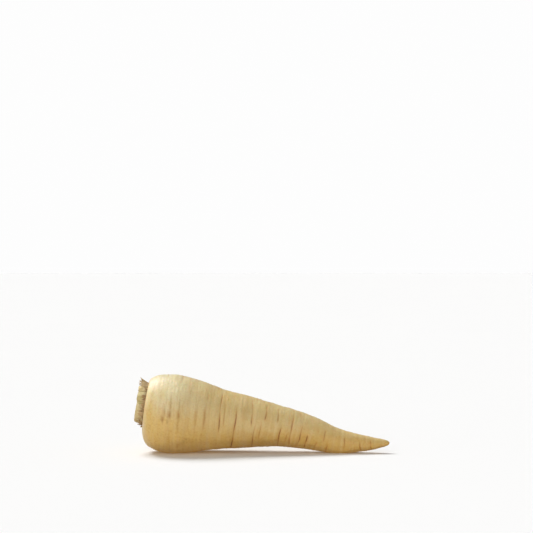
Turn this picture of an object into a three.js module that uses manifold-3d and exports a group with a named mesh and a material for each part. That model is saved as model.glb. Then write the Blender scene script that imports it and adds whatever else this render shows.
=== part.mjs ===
// A parsnip as sold: one washed root lying on its side, its leaves cut off short at the crown.
// The root is a loft of rings from the sunken crown socket, over the shoulder, down to the tip. It is bowed,
// so it touches the surface under the shoulder and again near the tip, on a small flat at each. Cross creases
// run round it. The cut leaf stalks and the dry leaf bases stand in the socket, each fused into one body.
// Millimetres, +Z up, crown towards -X, tip towards +X, the side with the listed creases facing -Y.
// The origin is on the surface, under the middle of the bounding box.
import * as THREE from "three";
import { mergeVertices } from "three/addons/utils/BufferGeometryUtils.js";
import Module from "manifold-3d";

const wasm = await Module();
wasm.setup();

// ---------- driving dimensions ----------

const SIDES = 40; // points round each ring of the root, one of them underneath
const FLAT_SINK = 0.6; // how far the two resting spots are pressed flat
const CREASE_HALF_WIDTH = 0.85;
const CREASE_DEPTH = 0.75; // of a crease of strength 1
const CREASE_FADE = 0.3; // share of an arc's half length over which it fades out
const PLAIN_STEP = 4.5; // furthest apart that two rings stand between creases
const SIDE_SWAY = [1.6, -3.4]; // how far the middle and the tip wander towards +Y
const LOBES = [[2, 0.02, 0.6], [3, 0.012, 2.1]]; // out-of-round: lobes, share of the radius, phase along it
const LOBE_TURN = 45; // distance along the root over which a lobe's phase moves on by a radian

const CROWN = new THREE.Vector3(2.4, 0, 34.3); // middle of the socket's rim
const CROWN_TILT = THREE.MathUtils.degToRad(8.5); // the crown looks this far up from level
const CUT_HEIGHT = 6.2; // the knife cut across the leaf stalks, above the rim
const FLOOR = -4; // the socket's floor, against the rim
const GAP = 0.32; // kept between solids that touch

// Rings of the root: distance along it, height of the middle, radius, and lean of the ring in degrees.
const RINGS = [
  [6.36, 33.71, 0, 8.5], // middle of the socket's floor
  [6.36, 33.71, 7.5, 8.5],
  [6.27, 33.72, 12.4, 8.5], // foot of the socket's wall
  [4.6, 33.97, 15.2, 8.5],
  [3.1, 34.2, 16.0, 8.5],
  [2.4, 34.3, 16.8, 8.5], // rim
  [2.5, 33.5, 18.6, 8.3],
  [3.4, 31.7, 21.4, 7.7],
  [5.9, 30.1, 24.1, 7],
  [8.9, 29.2, 25.7, 6],
  [12.5, 28.6, 26.8, 5],
  [18.5, 28.0, 27.6, 4.5], // widest, at the shoulder
  [26, 27.45, 27.4, 4.5],
  [37, 26.35, 25.3, 6],
  [51, 24.5, 22.1, 6.5],
  [66, 22.7, 19.5, 6],
  [82, 21.0, 16.8, 7.5],
  [96, 19.0, 14.6, 10],
  [108, 16.7, 12.9, 12.5],
  [118, 14.2, 11.7, 15.5],
  [127, 11.6, 10.5, 15],
  [135, 9.4, 9.3, 10],
  [143, 8.0, 7.9, 5],
  [151, 7.5, 6.5, 2],
  [159.5, 7.2, 5.1, -0.5],
  [166, 7.25, 3.6, -2],
  [170.3, 7.5, 2.4, -3],
  [172.8, 7.7, 1.4, -3],
  [173.8, 7.75, 0, -3], // tip
];
const RIM_RING = 5;
const SHOULDER_RING = 9; // from here on, rings are placed by their distance along the root

// Cross creases on the side facing -Y: distance along the root, then where the crease starts and ends round
// it (degrees, 0 facing -Y and 90 on top), and its strength.
const CREASES = [
  [16, -10, 8, 0.2],
  [20.3, -8, 10, 0.2],
  [26.5, -22, 10, 0.35],
  [38.4, -12, 14, 0.4],
  [44.2, -15, 18, 0.5],
  [54.6, -22, 64, 0.8],
  [57.5, 22, 58, 0.6],
  [65, -74, 30, 1],
  [76.3, 0, 56, 1],
  [79, -75, 0, 0.9],
  [83.2, -50, 10, 0.6],
  [85.6, 16, 58, 0.9],
  [94, 18, 60, 0.8],
  [97.2, -72, 4, 1],
  [104.6, -54, 52, 1],
  [111, -50, 18, 0.9],
  [115.9, -60, -4, 1],
  [123.2, -66, -22, 0.7],
  [127, -14, 32, 0.7],
  [130.4, -76, -20, 0.8],
  [141.4, -40, 28, 0.8],
  [145.6, -14, 26, 0.5],
  [152.6, -66, 22, 0.7],
  [160.3, -66, 42, 0.8],
];

// Cut leaf stalks, nested round the heart of the crown. Angles are round the crown, 0 at its top and 90
// towards +Y: middle angle, half width in degrees, distance of the stalk's middle from the crown's axis at
// the cut, thickness, how far its foot flares outwards, and how far its own cut stands off the common one.
const STALKS = [
  [-40, 62, 3.5, 2.5, 0.2, 0.2],
  [150, 66, 3.7, 2.4, 0.2, -0.1],
  [-121, 50, 7.1, 2.9, 0.5, 0],
  [0, 46, 7, 2.8, 0.5, 0.4],
  [116, 55, 7.1, 3, 0.5, -0.1],
  [-137, 56, 11.1, 3.1, 1.9, 0],
  [-57, 21, 11, 3, 1.3, 0.15],
  [0, 34, 10.9, 2.9, 1, 0.5],
  [64, 29, 11, 3, 1, 0.2],
  [126, 31, 11, 3, 1.3, -0.3],
];
const RIB_WIDTH = 3.4; // about how wide a rib along a stalk's back is
const RIB_HEIGHT = 0.22;
const POINTS_PER_RIB = 3;
const HEART = [5.2, 7.8]; // radius of the packed young stalks at the cut and at the floor
const HEART_DROP = 0.9; // the heart's cut lies this far below the stalks'

// Dry leaf bases: torn scales in rows, each row with its count, distance from the crown's axis, least and
// greatest height above the rim, and how far a scale's tip leans outwards.
const SCALE_ROWS = [
  { count: 12, radius: 15, low: 1, high: 3.4, lean: 0.5, width: 5.8 },
  { count: 12, radius: 14.1, low: 3, high: 6, lean: -0.3, width: 5.6 },
];
// The widest scales stand alone: angle round the crown, width, height above the rim, and lean.
const BROAD_SCALES = [
  [-24, 8, 6.6, 2.8],
  [10, 9, 7, 3.3],
  [42, 7, 5.6, 1.8],
  [-112, 5, 4.8, 0.3],
  [172, 9, 3.2, -0.9],
];
const BROAD_RADIUS = 15.2;
const SCALE_THICKNESS = 0.85;
const SCALE_BED = { inner: 11.2, outer: 15.4, top: -2.3 }; // the ring that the scales stand in
const SEED = 20;

// ---------- tools ----------

let state = SEED;
function random() {
  state = (Math.imul(state, 1664525) + 1013904223) >>> 0;
  return state / 2 ** 32;
}

const between = (low, high) => low + (high - low) * random();
const radians = THREE.MathUtils.degToRad;
const smooth = THREE.MathUtils.smoothstep;

// A closed skin over rings of equal length. A ring of one point is a pole, and other ends get a cap, whose
// ring runs out along one edge and back along the other.
function skin(rings) {
  const position = rings.flat().flatMap((p) => p.toArray());
  const starts = [];
  rings.reduce((start, ring) => (starts.push(start), start + ring.length), 0);
  const index = [];
  for (let r = 0; r + 1 < rings.length; r++) {
    const [a, b] = [rings[r].length, rings[r + 1].length];
    const n = Math.max(a, b);
    for (let k = 0; k < n; k++) {
      const next = (k + 1) % n;
      const at = (ring, size, i) => starts[ring] + (size === 1 ? 0 : i);
      if (b > 1) index.push(at(r, a, k), at(r + 1, b, next), at(r + 1, b, k));
      if (a > 1) index.push(at(r, a, k), at(r, a, next), at(r + 1, b, next));
    }
  }
  const cap = (ring, size, flip) => {
    for (let k = 0; k + 1 < size / 2; k++) {
      const [a, b, c, d] = [k, k + 1, size - 2 - k, size - 1 - k].map((i) => starts[ring] + i);
      index.push(...(flip ? [a, c, b, a, d, c] : [a, b, c, a, c, d]));
    }
  };
  const last = rings.length - 1;
  if (rings[0].length > 1) cap(0, rings[0].length, true);
  if (rings[last].length > 1) cap(last, rings[last].length, false);
  return new THREE.BufferGeometry()
    .setAttribute("position", new THREE.Float32BufferAttribute(position, 3))
    .setIndex(index);
}

// A closed geometry as a solid, facing out whichever way round it was made.
function solid(geometry) {
  const bare = geometry.clone();
  bare.deleteAttribute("normal");
  bare.deleteAttribute("uv");
  const merged = mergeVertices(bare, 1e-4);
  const mesh = (triVerts) =>
    new wasm.Mesh({ numProp: 3, vertProperties: merged.attributes.position.array, triVerts });
  const made = new wasm.Manifold(mesh(new Uint32Array(merged.index.array)));
  if (made.volume() > 0) return made;
  return new wasm.Manifold(mesh(new Uint32Array(merged.index.array).reverse()));
}

function geometryOf(made) {
  const mesh = made.getMesh();
  return new THREE.BufferGeometry()
    .setAttribute("position", new THREE.BufferAttribute(mesh.vertProperties, 3))
    .setIndex(new THREE.BufferAttribute(mesh.triVerts, 1));
}

// A solid of revolution about the crown's axis, from [radius, height] points that close on themselves.
function turned(profile, sides = 36) {
  const points = [...profile, profile[0]].map(([r, h]) => new THREE.Vector2(r, h));
  return solid(new THREE.LatheGeometry(points, sides).rotateX(Math.PI / 2));
}

// ---------- root ----------

// One number between b and c of four in a row, on a Catmull-Rom curve.
function between4(a, b, c, d, t) {
  const cubic = 3 * (b - c) + d - a;
  return b + 0.5 * t * (c - a + t * (2 * a - 5 * b + 4 * c - d + t * cubic));
}

// The ring at a place between the listed ones, such as 7.5, halfway from the seventh to the eighth.
function ringAt(place) {
  const i = Math.min(Math.floor(place), RINGS.length - 2);
  const row = (k) => RINGS[THREE.MathUtils.clamp(k, 0, RINGS.length - 1)];
  const [x, z, radius, lean] = [0, 1, 2, 3].map((c) =>
    between4(row(i - 1)[c], row(i)[c], row(i + 1)[c], row(i + 2)[c], place - i),
  );
  return { x, z: z - FLAT_SINK, radius: Math.max(radius, 0), lean: radians(lean) };
}

// The place of the ring that stands at a distance along the root, below the shoulder.
function placeOf(x) {
  let [low, high] = [SHOULDER_RING, RINGS.length - 1];
  for (let k = 0; k < 40; k++) {
    const middle = (low + high) / 2;
    if (ringAt(middle).x < x) low = middle;
    else high = middle;
  }
  return low;
}

// How far the root's middle lies towards +Y at a distance along it.
function sway(x) {
  const along = THREE.MathUtils.clamp(x / RINGS.at(-1)[0], 0, 1);
  return SIDE_SWAY[0] * Math.sin(Math.PI * along) + SIDE_SWAY[1] * along ** 3;
}

// A point of the root's surface. The out-of-round lobes start past the rim and leave the top and the
// underside as they are.
function surfacePoint(place, angle, dent = 0) {
  const { x, z, radius, lean } = ringAt(place);
  const grown = smooth(place, RIM_RING + 1, SHOULDER_RING);
  const lobed = LOBES.reduce(
    (sum, [count, share, phase]) =>
      sum + share * Math.sin(count * (angle + Math.PI / 2)) * Math.cos(phase + x / LOBE_TURN),
    0,
  );
  const out = radius * (1 + grown * lobed) - dent;
  const up = out * Math.sin(angle);
  return new THREE.Vector3(
    x + up * Math.sin(lean),
    sway(x) * grown - out * Math.cos(angle),
    Math.max(0, z + up * Math.cos(lean)),
  );
}

// Each crease's ring also carries one or two arcs round the far side, at random places.
function creaseRings() {
  return CREASES.map(([x, from, to, strength]) => {
    const arcs = [{ middle: (from + to) / 2, half: (to - from) / 2, strength }];
    const more = random() < 0.55 ? 1 : 2;
    for (let k = 0; k < more; k++) {
      const middle = between(95, 175) + 90 * k;
      arcs.push({ middle, half: between(14, 38), strength: between(0.5, 1) });
    }
    return { x, arcs };
  });
}

// How deep a crease's arcs cut at an angle.
function creaseDepth(arcs, angle) {
  const degrees = THREE.MathUtils.radToDeg(angle);
  return Math.max(
    ...arcs.map(({ middle, half, strength }) => {
      const off = Math.abs(((degrees - middle + 540) % 360) - 180) / half;
      return CREASE_DEPTH * strength * (1 - smooth(off, 1 - CREASE_FADE, 1 + CREASE_FADE));
    }),
  );
}

// Rings of the whole root: those of the socket and the shoulder as listed, then three at each crease, its
// two edges and its bottom, with plain ones filling the stretches between.
function rootStations() {
  const listed = RINGS.slice(0, SHOULDER_RING + 1).map((_, place) => ({ place }));
  listed.splice(SHOULDER_RING, 0, { place: SHOULDER_RING - 0.5 });
  listed.splice(SHOULDER_RING - 1, 0, { place: SHOULDER_RING - 1.5 });
  const marks = [];
  for (const crease of creaseRings()) {
    const last = marks.length ? marks.at(-1).x : RINGS[SHOULDER_RING][0];
    const start = crease.x - CREASE_HALF_WIDTH;
    const plain = Math.ceil((start - last) / PLAIN_STEP);
    for (let k = 1; k < plain; k++) marks.push({ x: last + ((start - last) * k) / plain });
    if (start - last > CREASE_HALF_WIDTH / 4) marks.push({ x: start });
    marks.push(crease, { x: crease.x + CREASE_HALF_WIDTH });
  }
  const tip = RINGS.length - 4;
  const body = marks.map(({ x, arcs }) => ({ place: placeOf(x), arcs }));
  const end = [tip, tip + 0.6, tip + 1.2, tip + 2, tip + 3].map((place) => ({ place }));
  return [...listed, ...body, ...end];
}

function makeRoot() {
  const rings = rootStations().map(({ place, arcs }) => {
    if (ringAt(place).radius < 1e-6) return [surfacePoint(place, 0)];
    return Array.from({ length: SIDES }, (_, k) => {
      const angle = (2 * Math.PI * k) / SIDES;
      return surfacePoint(place, angle, arcs ? creaseDepth(arcs, angle) : 0);
    });
  });
  return solid(skin(rings));
}

// ---------- crown, about its own axis: height 0 is the rim, and X points to the crown's top ----------

// The space that the socket leaves for the crown's pieces, a gap clear of the root.
function socketRoom() {
  return turned([
    [0, FLOOR + GAP], [12.2, FLOOR + GAP], [14.8, -2.3 + GAP], [15.6, -0.8 + GAP],
    [16.2, GAP + 0.1], [20.5, GAP + 0.1], [20.5, 12], [0, 12],
  ]);
}

// A leaf stalk cut short: a strip bent round the crown's axis, ribbed on its back, flared at its foot.
// Growing it by a margin gives the room that its neighbours leave for it.
function stalk([middle, half, reach, thick, flare, off], margin = 0) {
  const ribs = Math.round((2 * radians(half) * reach) / RIB_WIDTH);
  const points = ribs * POINTS_PER_RIB + 1;
  const cut = CUT_HEIGHT + off + margin;
  const levels = [FLOOR, -2.2, 0.2, 2.6, cut];
  const outward = [-0.4, 0.1, 1, 0.5, 0];
  const rings = levels.map((height, level) => {
    const along = (height - FLOOR) / (cut - FLOOR);
    const radius = reach + flare * outward[level];
    const spread = radians(half) * (1 - 0.08 * along) + margin / radius;
    const edge = (side) =>
      Array.from({ length: points }, (_, k) => {
        const share = (2 * k) / (points - 1) - 1;
        const rib = side > 0 ? RIB_HEIGHT * Math.cos(ribs * Math.PI * share) : 0;
        const body = (thick / 2) * Math.sqrt(1.08 - share * share) + margin;
        const r = radius + side * body + rib * (1 - share * share);
        const angle = radians(middle) + share * spread;
        return new THREE.Vector3(r * Math.cos(angle), r * Math.sin(angle), height);
      });
    return [...edge(1), ...edge(-1).reverse()];
  });
  return solid(skin(rings));
}

function makeStalks(margin = 0) {
  const heart = turned(
    [[0, FLOOR], [HEART[1] + margin, FLOOR], [HEART[0] + 1.6 + margin, 0],
      [HEART[0] + margin, CUT_HEIGHT - HEART_DROP + margin], [0, CUT_HEIGHT - HEART_DROP + margin]],
    28,
  );
  const bed = turned(
    [[0, FLOOR], [11.4 + margin, FLOOR], [11.2 + margin, -1.6], [8.8 + margin, 1.4], [0, 1.6]],
    28,
  );
  return STALKS.reduce((all, row) => all.add(stalk(row, margin)), heart.add(bed));
}

// One torn scale: a tongue standing in the bed, its outline and its lean drawn at random.
function scale(row, angle) {
  const height = between(row.low, row.high);
  const width = row.width * between(0.7, 1.25);
  const lean = row.lean + between(-0.7, 0.7);
  const skew = between(-0.25, 0.25);
  const radius = row.radius + between(-0.35, 0.35);
  const profile = [[0, 1], [0.5, 0.95], [0.8, between(0.55, 0.8)], [1, between(0.1, 0.35)]];
  const rings = profile.map(([up, share]) => {
    const level = FLOOR + 0.8 + (height - FLOOR - 0.8) * up;
    const r = radius + lean * up * up;
    const edge = (side) =>
      [-1, 0, 1].map((across) => {
        const turn = angle + (skew * up) + (across * share * width) / (2 * r);
        const reach = r + side * (SCALE_THICKNESS / 2) - 0.3 * across * across;
        return new THREE.Vector3(reach * Math.cos(turn), reach * Math.sin(turn), level);
      });
    return [...edge(1), ...edge(-1).reverse()];
  });
  return solid(skin(rings));
}

function makeScales() {
  const { inner, outer, top } = SCALE_BED;
  const bed = turned([[inner, FLOOR], [outer, FLOOR], [outer, top + 0.5], [inner, top]]);
  const scales = SCALE_ROWS.flatMap((row) =>
    Array.from({ length: row.count }, (_, k) =>
      scale(row, (2 * Math.PI * (k + between(-0.3, 0.3))) / row.count),
    ),
  );
  const broad = BROAD_SCALES.map(([angle, width, height, lean]) =>
    scale({ radius: BROAD_RADIUS, low: height, high: height, lean, width }, radians(angle)),
  );
  const whole = [...scales, ...broad].reduce((all, one) => all.add(one), bed).intersect(socketRoom());
  const bodies = whole.subtract(makeStalks(GAP)).decompose();
  return bodies.sort((a, b) => b.volume() - a.volume())[0];
}

// ---------- assembly ----------

function mesh(name, made, color, roughness) {
  const material = new THREE.MeshStandardMaterial({ color, roughness, metalness: 0, flatShading: true });
  const piece = new THREE.Mesh(geometryOf(made), material);
  piece.name = name;
  return piece;
}

const parsnip = new THREE.Group();
parsnip.add(mesh("root", makeRoot(), 0xdfc48c, 0.55));

const crown = new THREE.Group();
crown.position.copy(CROWN).setZ(CROWN.z - FLAT_SINK);
crown.rotation.y = CROWN_TILT - Math.PI / 2;
crown.add(mesh("leaf_stalks", makeStalks().intersect(socketRoom()), 0xa99f58, 0.7));
crown.add(mesh("dry_leaf_bases", makeScales(), 0x7a5a36, 0.9));
parsnip.add(crown);

parsnip.updateMatrixWorld(true);
const box = new THREE.Box3().setFromObject(parsnip, true);
const middle = box.getCenter(new THREE.Vector3());
parsnip.position.set(-middle.x, -middle.y, -box.min.z);

export default parsnip;
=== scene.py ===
"""A washed parsnip lying on its side, its leaves cut off short at the crown.

Lengths are in millimetres up to the point where they are handed to Blender, which takes metres. The root
is described along its own length, x, from the crown at 0 to the tip, and a shift then puts it where its
solid is. The crown's pieces are modelled about their own axis, which points out of the crown from the rim
at height 0, with X towards the crown's top, and are turned into place when they are finished.
"""
import math
import random
from collections import namedtuple

import bmesh
import bpy
import numpy as np
from mathutils import Matrix, Vector, noise


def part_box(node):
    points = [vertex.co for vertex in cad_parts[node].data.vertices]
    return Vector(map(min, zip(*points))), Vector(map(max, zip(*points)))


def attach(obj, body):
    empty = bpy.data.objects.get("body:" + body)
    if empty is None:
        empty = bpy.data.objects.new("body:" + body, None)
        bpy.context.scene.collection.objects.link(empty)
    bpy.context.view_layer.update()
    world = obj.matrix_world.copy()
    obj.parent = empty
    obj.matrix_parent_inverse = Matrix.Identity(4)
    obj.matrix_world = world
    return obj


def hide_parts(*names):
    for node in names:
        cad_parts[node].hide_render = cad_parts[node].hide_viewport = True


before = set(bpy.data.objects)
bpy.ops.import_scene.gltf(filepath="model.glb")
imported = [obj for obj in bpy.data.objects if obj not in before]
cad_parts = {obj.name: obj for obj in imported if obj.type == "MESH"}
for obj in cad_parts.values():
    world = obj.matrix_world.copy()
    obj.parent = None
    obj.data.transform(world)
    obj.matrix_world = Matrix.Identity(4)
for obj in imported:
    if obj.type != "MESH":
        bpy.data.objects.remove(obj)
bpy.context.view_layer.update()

MM = 0.001

# ---------- driving dimensions, in millimetres and degrees ----------

FLAT_SINK = 0.6  # how far the two resting spots are pressed flat
SIDE_SWAY = (1.6, -3.4)  # how far the middle and the tip wander towards +Y
LOBES = ((2, 0.02, 0.6), (3, 0.012, 2.1))  # out-of-round: lobes, share of the radius, phase along it
LOBE_TURN = 45  # distance along the root over which a lobe's phase moves on by a radian

# Rings of the root: distance along it, height of the middle, radius, and lean of the ring in degrees.
RINGS = (
    (6.36, 33.71, 0, 8.5),  # middle of the socket's floor
    (6.36, 33.71, 7.5, 8.5),
    (6.27, 33.72, 12.4, 8.5),  # foot of the socket's wall
    (4.6, 33.97, 15.2, 8.5),
    (3.1, 34.2, 16.0, 8.5),
    (2.4, 34.3, 16.8, 8.5),  # rim
    (2.5, 33.5, 18.6, 8.3),
    (3.4, 31.7, 21.4, 7.7),
    (5.9, 30.1, 24.1, 7),
    (8.9, 29.2, 25.7, 6),
    (12.5, 28.6, 26.8, 5),
    (18.5, 28.0, 27.6, 4.5),  # widest, at the shoulder
    (26, 27.45, 27.4, 4.5),
    (37, 26.35, 25.3, 6),
    (51, 24.5, 22.1, 6.5),
    (66, 22.7, 19.5, 6),
    (82, 21.0, 16.8, 7.5),
    (96, 19.0, 14.6, 10),
    (108, 16.7, 12.9, 12.5),
    (118, 14.2, 11.7, 15.5),
    (127, 11.6, 10.5, 15),
    (135, 9.4, 9.3, 10),
    (143, 8.0, 7.9, 5),
    (151, 7.5, 6.5, 2),
    (159.5, 7.2, 5.1, -0.5),
    (166, 7.25, 3.6, -2),
    (170.3, 7.5, 2.4, -3),
    (172.8, 7.7, 1.4, -3),
    (173.8, 7.75, 0, -3),  # tip
)
RIM_RING = 5  # counted from 0, as are all places of rings
SHOULDER_RING = 9
LAST_RING = len(RINGS) - 1
TIP_X = RINGS[-1][0]
CROWN = Vector((RINGS[RIM_RING][0], 0, RINGS[RIM_RING][1]))  # middle of the socket's rim
CROWN_TILT = math.radians(RINGS[RIM_RING][3])

# Cross creases on the side facing -Y: distance along the root, where the crease starts and ends round it
# (degrees, 0 facing -Y and 90 on top), and its strength.
CREASES = (
    (16, -10, 8, 0.2),
    (20.3, -8, 10, 0.2),
    (26.5, -22, 10, 0.35),
    (38.4, -12, 14, 0.4),
    (44.2, -15, 18, 0.5),
    (54.6, -22, 64, 0.8),
    (57.5, 22, 58, 0.6),
    (65, -74, 30, 1),
    (76.3, 0, 56, 1),
    (79, -75, 0, 0.9),
    (83.2, -50, 10, 0.6),
    (85.6, 16, 58, 0.9),
    (94, 18, 60, 0.8),
    (97.2, -72, 4, 1),
    (104.6, -54, 52, 1),
    (111, -50, 18, 0.9),
    (115.9, -60, -4, 1),
    (123.2, -66, -22, 0.7),
    (127, -14, 32, 0.7),
    (130.4, -76, -20, 0.8),
    (141.4, -40, 28, 0.8),
    (145.6, -14, 26, 0.5),
    (152.6, -66, 22, 0.7),
    (160.3, -66, 42, 0.8),
)
CREASE_FADE = 0.3  # share of an arc's half length over which it fades out
MINOR_CREASES = 120  # short faint ones, at random places all round
MINOR_START, MINOR_RUN = 12, 155  # where along the root they start, and over what length they lie
MINOR_HALF = (5, 24)  # least and greatest half length of their arcs, in degrees
MINOR_STRENGTH = (0.12, 0.45)
SEED = 20

# A crease's section: a fine line in a wider dip, with a low lip on either side.
LINE_WIDTH = (0.3, 0.42)
LINE_DEPTH = 0.12
DIP_WIDTH, DIP_DEPTH = 2.4, 0.2
LIP_AWAY, LIP_WIDTH, LIP_HEIGHT = 1.3, 0.7, 0.04  # away from the line, to the lip's middle

# Relief all over the root, as layers of noise: height, size of the features along the root, share of the
# distance round it that counts (below 1, features are drawn out round the root), and the noise's seed.
LUMPS = ((0.34, 17, 1, 3), (0.13, 6, 1, 8))
BUMPS = ((0.05, 2.2, 1, 14),)
GROWTH_RINGS = ((0.075, 1.3, 0.12, 5), (0.035, 0.6, 0.2, 9))
TIP_CALM = 6  # length over which the relief dies down to the tip

# Brown smears on the side facing -Y: distance along the root, angle round it, how far it reaches to either
# side of that (degrees), its half width and its strength.
SMEARS = (
    (15.6, -3, 5, 1.3, 0.9),
    (16.6, 8, 10, 0.9, 0.6),
    (17.6, 24, 10, 0.7, 0.3),
    (20.3, 4, 6, 1.3, 1),
    (20.6, 18, 14, 0.8, 0.5),
    (19.2, -6, 3.5, 0.9, 0.55),
    (26.5, 4, 7, 1.2, 0.85),
    (26.6, 16, 12, 0.8, 0.45),
    (26.3, -10, 12, 0.7, 0.4),
    (33.1, -33, 2.5, 0.9, 0.6),
    (31.6, -38, 3, 0.8, 0.4),
    (38.4, 6, 16, 0.9, 0.4),
    (44.2, 4, 18, 1, 0.5),
)
MORE_SMEARS = 16  # at random places round the rest of it
# Least and greatest of the same five values for those.
MORE_SMEAR_RANGES = ((8, 165), (75, 285), (2, 14), (0.5, 1.3), (0.3, 0.9))

# The lower side is more golden than the upper: partly golden skin, partly painted warm shade, more of it
# towards the tip. How far down the skin has to face for that (1 is straight down), by distance along the
# root.
GOLD_AND_SHADE_X = (0, 8, 40, 80, 100, 125, 174)
GOLD_AND_SHADE_BELOW = (-0.5, -0.2, 0.22, 0.4, 0.15, -0.35, -0.8)
# Where the shoulder's colours start and stop fading out along the root: the painted highlight, paler skin on
# top of it, and its brighter gold, beyond which the darker gold is painted shade towards the tip.
HIGHLIGHT_FADE = (14, 52)
BRIGHT_FADE = (20, 75)

CUT_HEIGHT = 6.2  # the knife cut across the leaf stalks, above the rim
# Cut leaf stalks. Angles are round the crown, 0 at its top and 90 towards +Y: middle angle, half width in
# degrees, distance from the crown's axis at the cut, thickness, how far the foot flares outwards, how far
# its own cut stands off the common one, and how dry and tan it is.
Stalk = namedtuple("Stalk", "middle half reach thick flare off dry")
STALKS = (
    Stalk(-40, 62, 3.5, 2.5, 0.2, 0.2, 0),
    Stalk(150, 66, 3.7, 2.4, 0.2, -0.1, 0.1),
    Stalk(-121, 50, 7.1, 2.9, 0.5, 0, 0.2),
    Stalk(0, 46, 7.0, 2.8, 0.5, 0.4, 0.3),
    Stalk(116, 55, 7.1, 3, 0.5, -0.1, 0.1),
    Stalk(-137, 56, 11.1, 3.1, 1.9, 0, 0.75),
    Stalk(-57, 21, 11, 3, 1.3, 0.15, 0.45),
    Stalk(0, 34, 10.9, 2.9, 1, 0.5, 0.8),
    Stalk(64, 29, 11, 3, 1, 0.2, 0.3),
    Stalk(126, 31, 11, 3, 1.3, -0.3, 0.5),
)
# Two more in the very middle, cut lower.
YOUNG_STALKS = (
    Stalk(70, 80, 1.5, 1.1, 0, -0.7, 0),
    Stalk(-115, 70, 1.7, 1.2, 0, -0.4, 0),
)
STALK_FOOT = -3.6  # height of a stalk's foot
# How much of a stalk's flare it has at each height above the rim.
FLARE_HEIGHTS = (STALK_FOOT, -2.2, 0.2, 2.6, CUT_HEIGHT)
FLARE_SHARES = (-0.4, 0.1, 1, 0.5, 0)
RIB_WIDTH = 3.4  # of the ribs along a stalk's back, at most
RIB_HEIGHT = 0.2
# How uneven a stalk is, as height and size of the features: fine grooves up it, dents, bends, and the
# ragged cut.
GROOVES = (0.09, 0.55)
DENTS = (0.22, 2.6)
BENDS = (0.35, 5)
RAGGED_CUT = ((0.16, 1.6), (0.09, 0.5))
CUT_LIP = 0.14  # how far the cut stands up at its edge
CUT_DROP = 0.5  # how much lower it lies at either end of a stalk's arc
# The bed that the stalks grow from and the young stalks in its middle, as heights above the rim
# with their radii.
HEART = ((-3.6, 11.2), (-1.6, 11), (1.2, 8.8), (1.9, 6.2), (4.3, 5))
HEART_LUMPS = ((0.3, 2.2), (0.12, 0.7))  # height and size, as for a stalk

# Dry leaf bases: rows of torn scales, each with its count, distance from the crown's axis, least and
# greatest height above the rim, how far a scale's tip leans outwards, and its width.
ScaleRow = namedtuple("ScaleRow", "count reach low high lean width")
SCALE_ROWS = (
    ScaleRow(23, 15.2, 0.4, 2.6, 0.5, 4.6),
    ScaleRow(21, 14.6, 1.2, 4.0, 0.1, 4.4),
    ScaleRow(19, 13.9, 2.0, 5.0, -0.2, 4.0),
)
# The widest scales stand alone: angle round the crown, width, height above the rim, and lean.
BROAD_SCALES = (
    (-24, 8, 6.6, 2.8),
    (10, 9, 7, 3.3),
    (42, 7, 5.6, 1.8),
    (-112, 5, 4.8, 0.3),
    (172, 9, 3.2, -0.9),
)
BROAD_RADIUS = 15.2
BROAD_PALE = 0.95
SCALE_FOOT = -2.4  # height of every scale's foot
# Least and greatest of what differs from scale to scale: its share of its row's width, how much its tip
# stands off to one side (in radians round the crown), how much it curls in at its edges, how far it leans
# more than its row, and its thickness.
SCALE_WIDTHS = (0.7, 1.2)
SCALE_SKEW = (-0.12, 0.12)
SCALE_CURL = (-0.1, 0.16)
SCALE_TILT = (-0.5, 0.7)
SCALE_THICKNESS = (0.22, 0.42)
SCALE_TAPER = 0.5  # share of its width that it has lost at the tip
CRUMPLES = (0.35, 1.8)  # height and size

# The corky ring that the scales grow from, and the thin dry fibres among them.
COLLAR_RADIUS, COLLAR_THICKNESS, COLLAR_HEIGHT = 13.5, 3.5, -1.9
COLLAR_WRINKLES = ((0.3, 0.9), (0.25, 2.5))  # height and size
STRANDS = 150
STRAND_THICKNESS = 0.15
STRAND_REACH = (12.9, 15.6)  # distance from the crown's axis, where a strand starts
STRAND_FOOT = (-1.8, 0.5)  # height above the rim, where it starts
STRAND_LIMIT = 16.3  # the furthest from the axis that it may stray

Ring = namedtuple("Ring", "x y z radius lean")
Arc = namedtuple("Arc", "x middle half strength")


# ---------- the root's form ----------

def curve_between(a, b, c, d, t):
    """A number between b and c of four in a row, on a Catmull-Rom curve."""
    cubic = 3 * (b - c) + d - a
    return b + 0.5 * t * (c - a + t * (2 * a - 5 * b + 4 * c - d + t * cubic))


def sway(x):
    """How far the root's middle lies towards +Y."""
    along = min(max(x / TIP_X, 0), 1)
    return SIDE_SWAY[0] * math.sin(math.pi * along) + SIDE_SWAY[1] * along ** 3


def bell(off, width):
    """1 where off is 0, fading out to either side over about this width."""
    return np.exp(-(off / width) ** 2)


def smooth_step(low, high, value):
    """0 below low, 1 above high and an even curve between, for a number or an array."""
    share = np.clip((value - low) / (high - low), 0, 1)
    return share * share * (3 - 2 * share)


def ring_at(place):
    """The ring at a place between the listed ones, such as 7.5, halfway from ring 7 to ring 8."""
    i = min(int(place), LAST_RING - 1)
    rows = [RINGS[min(max(k, 0), LAST_RING)] for k in range(i - 1, i + 3)]
    x, z, radius, lean = (curve_between(*(row[c] for row in rows), place - i) for c in range(4))
    grown = float(smooth_step(RIM_RING + 1, SHOULDER_RING, place))
    return Ring(x, sway(x) * grown, z - FLAT_SINK, max(radius, 0), math.radians(lean))


def place_of(x):
    """The place of the ring that stands at a distance along the root, below the shoulder."""
    low, high = SHOULDER_RING, LAST_RING
    for _ in range(40):
        middle = (low + high) / 2
        if ring_at(middle).x < x:
            low = middle
        else:
            high = middle
    return low


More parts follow.
